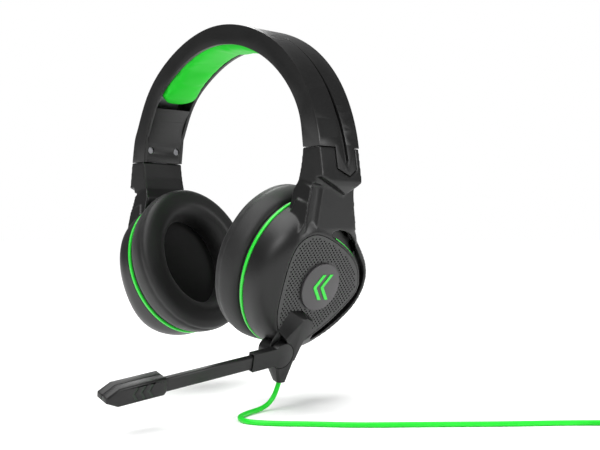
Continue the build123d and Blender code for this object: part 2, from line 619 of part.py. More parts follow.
def mic_head():
    """The two half shells of the head, the capsule in it, and the inserts in its slots."""
    outline = make_face(Polyline(*mic_outline(), close=True))
    inside = make_face(Polyline(*mic_outline(-1.6), close=True))
    middle = (MIC_IN + MIC_OUT) / 2
    outer = boom_frame(middle) * extrude(outline, MIC_OUT - middle)
    outer = chamfer(outer.faces().sort_by(Axis.Z)[-1].edges(), 0.8)
    outer -= boom_frame(middle - 1) * extrude(inside, MIC_OUT - middle - 0.6)
    inner = boom_frame(MIC_IN) * extrude(outline, middle - SNUG - MIC_IN)
    inner = chamfer(inner.faces().sort_by(Axis.Z)[0].edges(), 0.8)
    inner -= boom_frame(MIC_IN + 1.6) * extrude(inside, 20)
    ports = []
    for number in range(3):
        tip = BOOM_LENGTH + MIC_LENGTH - 14.5 - number * 4.6
        arrow = [(tip, 0), (tip - 2.6, 3.9), (tip - 2.6 - PORT_W, 3.9), (tip - PORT_W, 0),
                 (tip - 2.6 - PORT_W, -3.9), (tip - 2.6, -3.9)]
        slot = boom_frame(MIC_OUT - PORT_DEEP) * extrude(make_face(Polyline(*arrow, close=True)), 2)
        outer -= slot
        ports.append(slot & boom_frame(MIC_OUT - PORT_DEEP) * Pos(100, 0, 0.2) * Box(400, 60, 0.4))
    keep("mic_shell_outer", on_cup(outer))
    keep("mic_shell_inner", on_cup(inner))
    keep("mic_port_inserts", on_cup(Compound(children=ports)))
    place = boom_frame(middle) * Pos(BOOM_LENGTH + MIC_LENGTH - 17, 0, 0)
    keep("mic_capsule", on_cup(place * Cylinder(3.2, 5.0)))


# ---- volume control -------------------------------------------------------------------
def volume_control():
    """The thumb wheel in the rear wall of the left cup, its pot and its board."""
    middle = RING_W + WHEEL_PROUD - WHEEL_R
    wheel = disc(WHEEL_R, WHEEL_C - WHEEL_T / 2, WHEEL_C + WHEEL_T / 2, middle)
    for step in range(24):
        turn = 2 * pi * step / 24
        wheel -= disc(0.7, 0, 20, middle + WHEEL_R * cos(turn), WHEEL_R * sin(turn))
    wheel -= disc(SHAFT_R, 0, 20, middle)
    keep("volume_wheel", on_cup(wheel))
    shaft = disc(SHAFT_R - 0.02, WHEEL_C - WHEEL_T / 2, WHEEL_C + WHEEL_T / 2 + 3.0, middle)
    keep("volume_shaft", on_cup(shaft))
    pot_low = WHEEL_C + WHEEL_T / 2 + 0.5
    pot = disc(4.2, pot_low, pot_low + 3.4, middle)
    pot -= disc(SHAFT_R + 0.03, pot_low - 1, pot_low + 2.7, middle)
    keep("volume_pot", on_cup(pot))
    board = slab([(middle - 9, -9), (middle + 1.5, -9), (middle + 1.5, 9), (middle - 9, 9)],
                 pot_low + 3.4, pot_low + 4.6)
    keep("volume_board", on_cup(board))
    return disc(WHEEL_R + FIT, WHEEL_C - WHEEL_T / 2 - FIT, WHEEL_C + WHEEL_T / 2 + FIT, middle)


# ---- cord -----------------------------------------------------------------------------
def route_radii(points):
    """The arc at each corner: 0.45 of the shorter run over the tangent of half the turn."""
    radii = []
    for before, here, after in zip(points, points[1:], points[2:]):
        first, second = Vector(*here) - Vector(*before), Vector(*after) - Vector(*here)
        half_turn = radians(first.get_angle(second)) / 2
        radii.append(0.45 * min(first.length, second.length) / tan(half_turn))
    return radii


def cord():
    """The tube of the cord, its coil, and the strain relief and plug at its ends."""
    radii = route_radii(ROUTE)
    print("cord radii", [round(r, 1) for r in radii])
    path = FilletPolyline(*ROUTE, radius=radii)
    start = Plane(origin=path @ 0, z_dir=path % 0)
    tube = sweep(start * Circle(CORD_D / 2), path=path)
    print("cord tube length", round(path.length, 1), "volume over section times length",
          round(tube.volume / (pi * CORD_D ** 2 / 4 * path.length), 4))
    keep("cable", tube)
    end = Vector(*ROUTE[-1])
    heading = (end - Vector(*ROUTE[-2])).normalized()
    side = Vector(heading.Y, -heading.X, 0)
    outer = COIL_R_IN + (COIL_TURNS_WIDE - 0.5) * CORD_D
    middle = end + side * (outer - CORD_D / 2)
    height = COIL_LAYERS * CORD_D
    coil = Cylinder(outer, height) - Cylinder(COIL_R_IN - CORD_D / 2, height + 2)
    coil = Pos(middle.X, middle.Y, FLOOR_Z + height / 2) * coil
    keep("cable_coil", coil)
    plug(middle, height)


def plug(middle, height):
    """The moulded plug and its jack, lying on the coil."""
    turn = radians(PLUG_HEADING)
    axis = Plane(origin=(middle.X + PLUG_AT[0], middle.Y + PLUG_AT[1], FLOOR_Z + height + PLUG_R),
                 x_dir=(0, 0, 1), z_dir=(cos(turn), sin(turn), 0))
    body = Pos(0, 0, PLUG_BOOT + PLUG_LENGTH / 2) * Cylinder(PLUG_R, PLUG_LENGTH)
    boot = Pos(0, 0, PLUG_BOOT / 2) * Cone(CORD_D / 2 + 0.4, PLUG_R - 0.6, PLUG_BOOT)
    keep("plug_body", axis.location * (body + boot))
    jack = Pos(0, 0, JACK_LENGTH / 2) * Cylinder(JACK_R, JACK_LENGTH)
    jack = chamfer(jack.faces().sort_by(Axis.Z)[-1].edges(), 0.8)
    keep("jack", axis.location * Pos(0, 0, PLUG_BOOT + PLUG_LENGTH) * jack)


headband()
ears()
microphone()
slot = volume_control()
PARTS["ear_housing_left"] -= on_cup(slot)
cord()
os.makedirs("parts", exist_ok=True)
for node, shape in PARTS.items():
    export_step(shape, f"parts/{node}.step")
print(len(PARTS), "sub-parts")
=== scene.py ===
# %% [markdown]
# # A wired gaming headset
# Two padded ear cups hang from a sprung band. A microphone swings on the left cup, and a
# bright green cord runs from a tail on the same cup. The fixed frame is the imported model:
# every piece here sits where that model says, in metres, and rides on one of its bodies.

# %% The frame and its box
import bpy
import bmesh
import json
from math import atan2, cos, hypot, pi, radians, sin
from mathutils import Matrix, Vector, noise


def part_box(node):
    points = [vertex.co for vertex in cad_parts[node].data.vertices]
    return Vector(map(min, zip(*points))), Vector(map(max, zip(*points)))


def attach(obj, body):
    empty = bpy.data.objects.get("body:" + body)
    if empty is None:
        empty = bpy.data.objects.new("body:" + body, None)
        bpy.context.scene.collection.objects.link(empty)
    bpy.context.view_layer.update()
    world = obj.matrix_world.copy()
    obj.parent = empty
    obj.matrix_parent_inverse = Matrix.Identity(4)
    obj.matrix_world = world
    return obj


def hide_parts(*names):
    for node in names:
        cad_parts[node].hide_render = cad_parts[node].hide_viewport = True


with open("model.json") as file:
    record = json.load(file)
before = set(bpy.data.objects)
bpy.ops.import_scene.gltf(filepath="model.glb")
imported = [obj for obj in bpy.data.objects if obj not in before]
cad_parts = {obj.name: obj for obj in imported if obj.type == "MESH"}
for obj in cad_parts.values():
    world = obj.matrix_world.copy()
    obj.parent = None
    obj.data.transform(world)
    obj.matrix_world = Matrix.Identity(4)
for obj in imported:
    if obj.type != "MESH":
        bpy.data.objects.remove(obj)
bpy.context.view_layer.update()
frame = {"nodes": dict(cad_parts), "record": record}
nodes = frame["nodes"]
MM = 0.001


# %% [markdown]
# The camera looks at the left cup from its front, almost level with the ears, through a
# lens a little longer than normal. That keeps the far cup nearly as large as the near one.

# %% Camera
BACK = Vector((0.723743, -0.689968, -0.011868))
LENS_MM, SENSOR_MM = 59.81, 36.0
camera = bpy.data.objects.new("camera", bpy.data.cameras.new("camera"))
camera.data.lens, camera.data.sensor_width = LENS_MM, SENSOR_MM
camera.data.clip_start, camera.data.clip_end = 0.01, 20.0
camera.location = Vector((480.411, -402.349, 20.037)) * MM
camera.rotation_mode = "QUATERNION"
camera.rotation_quaternion = (-BACK).to_track_quat("-Z", "Y")
bpy.context.scene.collection.objects.link(camera)
bpy.context.scene.camera = camera
print("camera at", tuple(round(x, 3) for x in camera.location))


# %% [markdown]
# The cord leaves the tail of the left cup, drops to the floor, swings round to the front
# and runs off behind. It is 2.8 mm of soft jacketed cable, about 1.8 m long, so what is not
# laid out is wound into a small coil. One curve holds the route and then the turns.

# %% Route of the cord
CORD_D = 2.8 * MM
FLOOR_Z = -78.0 * MM
CORD_Z = -76.6
ROUTE = [(60.9, -18.8, -62.0), (59.9, -19.6, -66.4), (59.2, -22.0, -71.6),
         (59.2, -27.0, -75.4), (60.6, -34.5, CORD_Z), (64.0, -45.5, CORD_Z),
         (70.6, -57.5, CORD_Z), (83.0, -63.0, CORD_Z), (96.0, -56.0, CORD_Z),
         (110.0, -43.0, CORD_Z), (130.5, -26.5, CORD_Z), (152.0, -0.5, CORD_Z),
         (178.0, 28.0, CORD_Z), (203.0, 60.0, CORD_Z), (231.0, 88.0, CORD_Z)]
points = [Vector(p) * MM for p in ROUTE]

# %% Turns of the coil
PER_TURN, ACROSS, LAYERS = 16, 4, 4
INNER_R = 12.6 * MM
SHIFT = 0.25            # the last part of a turn, in which it moves to the next track
EASE = 0.992            # keeps the turns just inside the ring that they stand for
low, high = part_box("cable_coil")
coil_middle = Vector(((low.x + high.x) / 2, (low.y + high.y) / 2, 0))
first = points[-1] - coil_middle
start_angle = atan2(first.y, first.x)
# the wound columns, outside to inside on one layer and back out on the next
tracks = []
for layer in range(LAYERS):
    columns = range(ACROSS) if layer % 2 else range(ACROSS - 1, -1, -1)
    tracks += [(column, layer) for column in columns]
# one track stays empty, because fifteen turns already make up the length
tracks = tracks[:-1]
steps = len(tracks) * PER_TURN
for step in range(1, steps + 1):
    turn = step / PER_TURN
    track = min(int(turn), len(tracks) - 1)
    after = min(track + 1, len(tracks) - 1)
    shift = max(0.0, (turn - track - (1 - SHIFT)) / SHIFT) if track < after else 0.0
    column = tracks[track][0] * (1 - shift) + tracks[after][0] * shift
    layer = tracks[track][1] * (1 - shift) + tracks[after][1] * shift
    angle = start_angle - 2 * pi * turn
    radius = (INNER_R + column * CORD_D) / cos(pi / PER_TURN) * EASE
    points.append(Vector((coil_middle.x + radius * cos(angle), coil_middle.y
                          + radius * sin(angle), CORD_Z * MM + layer * CORD_D)))
print("cord:", len(points), "points,", len(tracks), "turns in the coil")

# %% The cord as one curve
curve = bpy.data.curves.new("cord", "CURVE")
curve.dimensions = "3D"
spline = curve.splines.new("NURBS")
spline.points.add(len(points) - 1)
for place, point in zip(spline.points, points):
    place.co = (*point, 1.0)
spline.order_u = 3
spline.use_endpoint_u = True
spline.resolution_u = 6
curve.bevel_depth = CORD_D / 2
curve.bevel_resolution = 4
curve.use_fill_caps = True
cord = bpy.data.objects.new("cord", curve)
bpy.context.scene.collection.objects.link(cord)
bare = curve.copy()
bare.bevel_depth = 0.0
line = bpy.data.objects.new("line", bare)
bpy.context.scene.collection.objects.link(line)
line_mesh = bpy.data.meshes.new_from_object(line)
bpy.data.objects.remove(line)


# %% [markdown]
# A material here starts from the real one and how its surface was made. Colours are
# written as the hex values a maker would quote, and one function turns them to linear.
# One small function adds a node with its settings and its links.

# %% Colour and node helpers
def linear(hex_code):
    """A linear colour with alpha from an sRGB hex value."""
    channels = [int(hex_code[i:i + 2], 16) / 255 for i in (0, 2, 4)]
    return (*[c / 12.92 if c <= 0.04045 else ((c + 0.055) / 1.055) ** 2.4
              for c in channels], 1.0)


def add(tree, kind, inputs=None, **settings):
    """Adds one node; an input may be a value or the socket that feeds it."""
    made = tree.nodes.new(kind)
    for key, value in settings.items():
        setattr(made, key, value)
    for key, value in (inputs or {}).items():
        if isinstance(value, bpy.types.NodeSocket):
            tree.links.new(value, made.inputs[key])
        else:
            made.inputs[key].default_value = value
    return made


def new_material(name, **sockets):
    """A material with one Principled shader whose even values are set on its sockets."""
    material = bpy.data.materials.new(name)
    material.use_nodes = True
    shader = material.node_tree.nodes["Principled BSDF"]
    for key, value in sockets.items():
        shader.inputs[key.replace("_", " ")].default_value = value
    return material, material.node_tree, shader


def shade_between(tree, shader, factor, dark, light):
    """Mixes two hex colours by a factor into the shader's base colour."""
    shade = add(tree, "ShaderNodeMix", {"Factor": factor}, data_type="RGBA")
    # a Mix node has one set of sockets for each type, so the colour pair is set by place
    shade.inputs[6].default_value, shade.inputs[7].default_value = linear(dark), linear(light)
    tree.links.new(shade.outputs[2], shader.inputs["Base Color"])


# %% [markdown]
# Most of the headset is ABS from a spark-eroded mould: a fine, even grain that scatters
# the highlight. Real grain is near 0.1 mm, too fine to show, so it is drawn at 0.5 mm.
# Slow changes of shade and roughness stand for handling and uneven cooling.

# %% Grained surfaces
def grained(name, dark, light, rough, grain_mm, height_mm, patch_mm=18.0, kind="NOISE",
            scratch=0.0, **sockets):
    """A surface whose shade and roughness drift over patches, with a raised grain."""
    material, tree, shader = new_material(name, **sockets)
    place = add(tree, "ShaderNodeTexCoord").outputs["Object"]
    patch = add(tree, "ShaderNodeTexNoise", {"Vector": place, "Scale": 1 / (patch_mm * MM),
                                             "Detail": 3.0})
    shade_between(tree, shader, patch.outputs["Fac"], dark, light)
    if kind == "CELLS":
        grain = add(tree, "ShaderNodeTexVoronoi", {"Vector": place,
                    "Scale": 1 / (grain_mm * MM), "Randomness": 0.85},
                    feature="DISTANCE_TO_EDGE").outputs["Distance"]
        grain = add(tree, "ShaderNodeMapRange", {"Value": grain, "From Max": 0.25}
                    ).outputs["Result"]
    else:
        grain = add(tree, "ShaderNodeTexNoise", {"Vector": place,
                    "Scale": 1 / (grain_mm * MM), "Detail": 2.0}).outputs["Fac"]
    level = add(tree, "ShaderNodeMapRange", {"Value": patch.outputs["Fac"],
                "To Min": rough[0], "To Max": rough[1]})
    tree.links.new(level.outputs["Result"], shader.inputs["Roughness"])
    bump = add(tree, "ShaderNodeBump", {"Height": grain, "Distance": height_mm * MM,
                                        "Strength": 0.7})
    tree.links.new(bump.outputs["Normal"], shader.inputs["Normal"])
    return material


# %% Moulded plastics, jackets and film
charcoal = grained("charcoal_abs_spark_eroded", "090909", "0f0f0f", (0.34, 0.44), 0.5, 0.02,
                    Specular_IOR_Level=0.4)
charcoal_grip = grained("charcoal_abs_microphone", "090909", "101010", (0.36, 0.46), 0.5, 0.02,
                         Specular_IOR_Level=0.35)
black_nylon = grained("black_nylon_moulded", "070707", "0c0c0d", (0.45, 0.6), 0.5, 0.02)
badge_grey = grained("grey_abs_satin", "363436", "403e40", (0.34, 0.44), 0.4, 0.01)
green_abs = grained("green_abs_polished", "1cc02a", "2bd63a", (0.24, 0.34), 1.2, 0.004)
green_jacket = grained("green_pvc_cord_jacket", "18c827", "24da34", (0.34, 0.46), 0.8, 0.01,
                       patch_mm=9.0, Specular_IOR_Level=0.3)
port_black = grained("black_green_mesh_insert", "0d1a10", "142a18", (0.5, 0.7), 0.4, 0.03)
lead_black = grained("black_pvc_lead", "0b0b0c", "131315", (0.35, 0.5), 0.6, 0.01)
film = grained("polyester_film_formed", "b9b09a", "cfc7b2", (0.2, 0.3), 1.0, 0.01)
board_green = grained("solder_mask_board", "0b3a1c", "12502a", (0.3, 0.4), 0.6, 0.01)
print("moulded finishes made")

# %% Metals
plated = grained("zinc_plated_steel", "8c8c90", "a4a4a8", (0.25, 0.4), 0.6, 0.004,
                 Metallic=1.0)
magnet = grained("nickel_plated_magnet", "9a9792", "aeaaa4", (0.18, 0.28), 0.9, 0.003,
                 Metallic=1.0)
gold = grained("gold_plated_brass", "c8a14c", "dcb866", (0.14, 0.22), 0.8, 0.003,
               Metallic=1.0)
grille_coat = grained("grey_powder_coated_steel", "2c2c2c", "373737", (0.36, 0.46), 0.35,
                      0.012, Metallic=0.25)


# %% [markdown]
# The slider bars are rolled strip: the rolls leave fine lines along the length. Noise that
# is stretched along one axis draws them, with lines about 0.2 mm apart.

# %% Rolled strip
strip_steel, tree, shader = new_material("rolled_spring_steel", Metallic=1.0)
place = add(tree, "ShaderNodeTexCoord").outputs["Object"]
stretch = add(tree, "ShaderNodeMapping", {"Vector": place, "Scale": (1.0, 1.0, 0.03)})
lines = add(tree, "ShaderNodeTexNoise", {"Vector": stretch.outputs["Vector"],
                                         "Scale": 5000.0, "Detail": 2.0})
shade_between(tree, shader, lines.outputs["Fac"], "85878a", "a9abae")
level = add(tree, "ShaderNodeMapRange", {"Value": lines.outputs["Fac"], "To Min": 0.22,
                                         "To Max": 0.42})
tree.links.new(level.outputs["Result"], shader.inputs["Roughness"])
print("metals made")


# %% [markdown]
# The ear pads are protein leather, a foamed polyurethane skin pressed with a pebble grain
# of about 0.9 mm. It has a soft sheen, so grazing light lifts its edge. The crown cushion
# has the same kind of skin in green, smoother and a little glossier.

# %% Soft skins
pad_skin = grained("black_protein_leather_pressed", "0a0a0a", "101010", (0.46, 0.58), 0.9,
                   0.03, kind="CELLS", patch_mm=14.0, Sheen_Weight=0.06,
                   Sheen_Roughness=0.4, Specular_IOR_Level=0.4)
crown_skin = grained("green_silicone_skin_moulded", "12b51e", "1cc62a", (0.5, 0.6), 1.1,
                     0.012, kind="CELLS", patch_mm=22.0,
                     Specular_IOR_Level=0.2)


# %% [markdown]
# The scrim inside each pad is thin woven polyester, and the same cloth is glued behind the
# grille to keep dust out. Two waves at right angles draw the threads, 0.8 mm apart.

# %% Woven scrim
woven, tree, shader = new_material("black_woven_polyester", Roughness=0.85)
place = add(tree, "ShaderNodeTexCoord").outputs["Object"]
THREAD_MM = 0.8
across = add(tree, "ShaderNodeTexWave", {"Vector": place, "Scale": 0.314 / (THREAD_MM * MM)},
             bands_direction="Y")
along = add(tree, "ShaderNodeTexWave", {"Vector": place, "Scale": 0.314 / (THREAD_MM * MM)},
            bands_direction="Z")
cross = add(tree, "ShaderNodeMath", {0: across.outputs["Fac"], 1: along.outputs["Fac"]},
            operation="MULTIPLY")
shade_between(tree, shader, cross.outputs["Value"], "030303", "0c0c0c")
bump = add(tree, "ShaderNodeBump", {"Height": cross.outputs["Value"], "Distance": 0.1 * MM})
tree.links.new(bump.outputs["Normal"], shader.inputs["Normal"])
print("skins and cloth made")


# %% [markdown]
# Many CAD parts already have the right shape, but their edges are dead sharp, and no
# moulded edge is. A merged copy with a small bevel stands for each one. The bevel is
# narrow, so the outline stays, and only the glint along the edge is new.

# %% Copies with moulded edges
def settle(obj):
    """Bakes an object's modifiers into its mesh."""
    evaluated = obj.evaluated_get(bpy.context.evaluated_depsgraph_get())
    mesh = bpy.data.meshes.new_from_object(evaluated)
    obj.modifiers.clear()
    obj.data = mesh


def piece(name, bm, material, body, smooth=True):
    """Makes an object from a bmesh, in place, and lets it ride on a body."""
    mesh = bpy.data.meshes.new(name)
    bm.to_mesh(mesh)
    bm.free()
    for face in mesh.polygons:
        face.use_smooth = smooth
    obj = bpy.data.objects.new(name, mesh)
    bpy.context.scene.collection.objects.link(obj)
    mesh.materials.append(material)
    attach(obj, body)
    return obj


def merged(node):
    """A bmesh of a CAD node with its loose triangles joined and its flats whole."""
    bm = bmesh.new()
    bm.from_mesh(nodes[node].data)
    bmesh.ops.remove_doubles(bm, verts=bm.verts, dist=2e-6)
    bmesh.ops.dissolve_limit(bm, angle_limit=radians(0.8), verts=bm.verts, edges=bm.edges)
    return bm


body_of = {n: body for body, members in frame["record"]["behaviour"]["bodies"].items()
           for n in members}


def moulded(node, material, width_mm=0.4, segments=2):
    """A piece that stands for a CAD node, with softened edges."""
    obj = piece(node + "_moulded", merged(node), material, body_of[node])
    bevel = obj.modifiers.new("edge", "BEVEL")
    bevel.width, bevel.segments = width_mm * MM, segments
    bevel.limit_method, bevel.angle_limit = "ANGLE", radians(32)
    bevel.harden_normals = False
    settle(obj)
    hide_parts(node)
    smooth_by_angle(obj, 40)
    return obj


def smooth_by_angle(obj, degrees):
    """Smooth shading that breaks at edges sharper than the angle."""
    bm = bmesh.new()
    bm.from_mesh(obj.data)
    for face in bm.faces:
        face.smooth = True
    for edge in bm.edges:
        edge.smooth = edge.is_manifold and edge.calc_face_angle(0) < radians(degrees)
    bm.to_mesh(obj.data)
    bm.free()


# %% Band, bracket and boom
for node, width in (("headband_shell", 0.7), ("boom_bracket", 0.5), ("boom_sleeve", 0.45),
                    ("boom_arm", 0.3), ("mic_shell_outer", 0.3), ("mic_shell_inner", 0.3)):
    made = moulded(node, charcoal_grip if node.startswith("mic") else charcoal, width)
    print(made.name, len(made.data.polygons), "faces")


# %% [markdown]
# Each ear housing is one moulding: the cup, its arm and the blade round the rear. Sharp
# joins between them would be hard to mould, so the real ones flow together. A fine voxel
# remesh and a few rounds of smoothing blend them, as a fillet all over would.

# %% Ear housings
HOUSING_VOXEL = 0.62 * MM
HOUSING_ROUNDS, HOUSING_KEPT = 7, 0.45      # rounds of smoothing, share of faces kept
for side in ("left", "right"):
    node = "ear_housing_" + side
    housing = piece(node + "_moulded", merged(node), charcoal, body_of[node])
    remesh = housing.modifiers.new("blend", "REMESH")
    remesh.mode, remesh.voxel_size = "VOXEL", HOUSING_VOXEL
    soften = housing.modifiers.new("soften", "SMOOTH")
    soften.factor, soften.iterations = 0.5, HOUSING_ROUNDS
    thin = housing.modifiers.new("thin", "DECIMATE")
    thin.ratio = HOUSING_KEPT
    settle(housing)
    for face in housing.data.polygons:
        face.use_smooth = True
    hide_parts(node)
    print(housing.name, len(housing.data.polygons), "faces")


# %% [markdown]
# The outer plates are punched steel: 1.1 mm holes in a diagonal grid, with a plain
# border and a plain seat for the badge. Each plate is the CAD plate with prisms taken
# out by a boolean, since a punch does the same.

# %% The cup's own frame
CUP_TILT = radians(18.7)
CUP_AT = Vector((55.5, -1.9, 0)) * MM
REAR, UP = Vector((0, 1, 0)), Vector((sin(CUP_TILT), 0, cos(CUP_TILT)))
OUTWARD = Vector((cos(CUP_TILT), 0, -sin(CUP_TILT)))
CUP = Matrix.Translation(CUP_AT) @ Matrix((REAR, UP, OUTWARD)).transposed().to_4x4()
MIRROR = Matrix.Scale(-1, 4, (1, 0, 0))


def to_side(bm, side):
    """Moves a bmesh from the cup's frame to the left or the right cup."""
    bmesh.ops.transform(bm, matrix=CUP, verts=bm.verts)
    if side == "right":
        bmesh.ops.transform(bm, matrix=MIRROR, verts=bm.verts)
        bmesh.ops.reverse_faces(bm, faces=bm.faces)


# %% Outline of the plate in the cup's frame
PLATE_HOLE = 18.0 * MM      # corners nearer than this belong to the badge's seat


def outline_of(node):
    """The outer corners of a flat plate, by angle, as (rear, up) pairs."""
    back_to_cup = CUP.inverted()
    reach = {}
    for vertex in nodes[node].data.vertices:
        spot = back_to_cup @ vertex.co
        key = round(atan2(spot.y, spot.x) / radians(3))
        far = hypot(spot.x, spot.y)
        if far > max(PLATE_HOLE, reach.get(key, (0, 0, 0))[0]):
            reach[key] = (far, spot.x, spot.y)
    return [reach[key][1:] for key in sorted(reach)]


rim = outline_of("grille_left")


def inside(a, b, margin):
    """Whether a point lies inside the plate's outline by at least the margin."""
    crossings = False
    for (xa, ya), (xb, yb) in zip(rim, rim[1:] + rim[:1]):
        if (ya > b) != (yb > b) and a < (xb - xa) * (b - ya) / (yb - ya) + xa:
            crossings = not crossings
        run = hypot(xb - xa, yb - ya)
        if run > 0:
            share = max(0.0, min(1.0, ((a - xa) * (xb - xa) + (b - ya) * (yb - ya)) / run ** 2))
            if hypot(a - xa - share * (xb - xa), b - ya - share * (yb - ya)) < margin:
                return False
    return crossings


# %% Punched grille plates
PITCH_A, PITCH_B, HOLE_R = 2.72 * MM, 1.36 * MM, 0.56 * MM
BADGE_A, BADGE_B, BADGE_R = 0.2 * MM, -1.3 * MM, 14.2 * MM
FACE_C = 22.0 * MM
hole_places = []
for row in range(-32, 26):
    for column in range(-14, 15):
        a = (column + (row % 2) / 2) * PITCH_A
        b = row * PITCH_B
        if hypot(a - BADGE_A, b - BADGE_B) > BADGE_R + 0.9 * MM and inside(a, b, 1.9 * MM):
            hole_places.append((a, b))
print("grille:", len(hole_places), "holes in each plate")
for side in ("left", "right"):
    punch = bmesh.new()
    for a, b in hole_places:
        bmesh.ops.create_cone(punch, cap_ends=True, segments=8, radius1=HOLE_R,
                              radius2=HOLE_R, depth=4 * MM,
                              matrix=Matrix.Translation((a, b, FACE_C)))
    to_side(punch, side)
    node = "grille_" + side
    punches = bpy.data.objects.new("punches", bpy.data.meshes.new("punches"))
    punch.to_mesh(punches.data)
    punch.free()
    bpy.context.scene.collection.objects.link(punches)
    plate = piece(node + "_punched", merged(node), grille_coat, body_of[node],
                  smooth=False)
    cut = plate.modifiers.new("punch", "BOOLEAN")
    cut.operation, cut.solver, cut.object = "DIFFERENCE", "MANIFOLD", punches
    bpy.context.view_layer.update()
    settle(plate)
    bpy.data.objects.remove(punches)
    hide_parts(node)
    print(plate.name, len(plate.data.polygons), "faces")

# %% Dust cloth behind the plates
CLOTH_DEPTH, CLOTH_SHARE = 2.4 * MM, 0.90
for side in ("left", "right"):
    bm = bmesh.new()
    ring = [bm.verts.new((a * CLOTH_SHARE, b * CLOTH_SHARE, FACE_C - CLOTH_DEPTH))
            for a, b in rim]
    face = bm.faces.new(ring)
    grown = bmesh.ops.extrude_face_region(bm, geom=[face])
    bmesh.ops.translate(bm, vec=(0, 0, 0.3 * MM),
                        verts=[v for v in grown["geom"] if isinstance(v, bmesh.types.BMVert)])
    bmesh.ops.recalc_face_normals(bm, faces=bm.faces)
    to_side(bm, side)
    piece("dust_cloth_" + side, bm, woven, side + "_ear", smooth=False)


# %% [markdown]
# An ear pad is a foam ring in a sewn skin. Its profile is turned round the hole, and the
# ring is then drawn out to the cup's oval. Cloth simulation with a little air pressure
# fills the skin, while the edge that is clipped to the cup stays put.

# %% Profile of the pad
PAD_PROFILE = [(38.0, -3.0), (39.6, -5.5), (40.7, -9.0), (41.4, -13.0), (41.7, -16.6),
               (41.5, -18.0), (41.6, -19.4), (41.0, -21.4), (39.2, -23.3), (36.4, -24.4),
               (33.0, -24.7), (29.6, -24.0), (26.8, -22.2), (24.6, -19.4), (23.2, -16.0),
               (22.6, -12.5), (22.7, -9.0), (23.6, -6.0), (25.0, -4.2), (26.5, -3.0),
               (30.0, -3.0), (34.0, -3.0)]
PAD_STEPS = 120
OVAL_EXTRA = 5.3 * MM
PAD_CAP = 1.2 * MM


def pad_ring():
    """The pad's skin in the cup's frame: a turned profile, drawn out upwards to an oval."""
    bm = bmesh.new()
    row = [bm.verts.new((r * MM, 0, c * MM)) for r, c in PAD_PROFILE]
    edges = [bm.edges.new((row[i], row[(i + 1) % len(row)])) for i in range(len(row))]
    bmesh.ops.spin(bm, geom=row + edges, axis=(0, 0, 1), cent=(0, 0, 0), angle=2 * pi,
                   steps=PAD_STEPS, use_merge=True, use_duplicate=False)
    bmesh.ops.remove_doubles(bm, verts=bm.verts, dist=1e-6)
    for vertex in bm.verts:
        across = hypot(vertex.co.x, vertex.co.y)
        vertex.co.y += OVAL_EXTRA * vertex.co.y / across
    bmesh.ops.recalc_face_normals(bm, faces=bm.faces)
    return bm


# %% Filling a skin with cloth simulation
def puff(obj, held, pressure, cap, frames=20):
    """Swells a closed skin; held says which vertices stay, cap is the most one may move."""
    start = [v.co.copy() for v in obj.data.vertices]
    group = obj.vertex_groups.new(name="held")
    group.add([v.index for v in obj.data.vertices if held(v.co)], 1.0, "REPLACE")
    cloth = obj.modifiers.new("skin", "CLOTH")
    cloth.settings.quality = 5
    cloth.settings.mass = 0.2
    cloth.settings.use_pressure = True
    cloth.settings.uniform_pressure_force = pressure
    cloth.settings.vertex_group_mass = "held"
    cloth.settings.effector_weights.gravity = 0.0
    cloth.settings.shrink_min = -0.03
    scene = bpy.context.scene
    for step in range(1, frames + 1):
        scene.frame_set(step)
    settle(obj)
    scene.frame_set(1)
    for vertex, before in zip(obj.data.vertices, start):
        move = vertex.co - before
        if move.length > cap:
            vertex.co = before + move * (cap / move.length)


# %% Ear pads
SEAM_DEEP, SEAM_Z, SEAM_HALF = 0.55 * MM, -18.0 * MM, 1.0 * MM
SEAM_OUTSIDE = 36 * MM      # the seam runs round the outer wall, not round the hole
PUCKERS = 30
CLIPPED_Z = -4.4 * MM       # above this the skin is clipped to the cup
bm = pad_ring()
mesh = bpy.data.meshes.new("pad_skin")
bm.to_mesh(mesh)
bm.free()
skin = bpy.data.objects.new("pad_skin", mesh)
bpy.context.scene.collection.objects.link(skin)
puff(skin, lambda p: p.z > CLIPPED_Z, 4.0, PAD_CAP)
for side in ("left", "right"):
    bm = bmesh.new()
    bm.from_mesh(skin.data)
    # the sewn seam pulls the skin in along one row, with a small pucker at each stitch
    for vertex in bm.verts:
        across = hypot(vertex.co.x, vertex.co.y)
        if across > SEAM_OUTSIDE and abs(vertex.co.z - SEAM_Z) < SEAM_HALF:
            around = atan2(vertex.co.y, vertex.co.x)
            pull = SEAM_DEEP * (1.0 + 0.2 * sin(around * PUCKERS))
            vertex.co.x -= pull * vertex.co.x / across
            vertex.co.y -= pull * vertex.co.y / across
        wander = noise.noise(vertex.co * 55.0 + Vector((3.0, 7.0, 1.0)))
        if vertex.co.z < -6 * MM:
            vertex.co += vertex.normal * wander * 0.25 * MM
    to_side(bm, side)
    pad = piece("ear_pad_" + side + "_skin", bm, pad_skin, side + "_ear")
    finer = pad.modifiers.new("finer", "SUBSURF")
    finer.levels = finer.render_levels = 2
    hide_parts("ear_pad_" + side)
    print(pad.name, len(pad.data.polygons), "faces before subdivision")
bpy.data.objects.remove(skin)


# %% [markdown]
# The crown cushion fills the channel under the band. Its section is a soft D that bulges
# towards the head, turned along the band's arc, with rounded ends. The section is drawn
# once and spun, and the ends are pulled in afterwards.

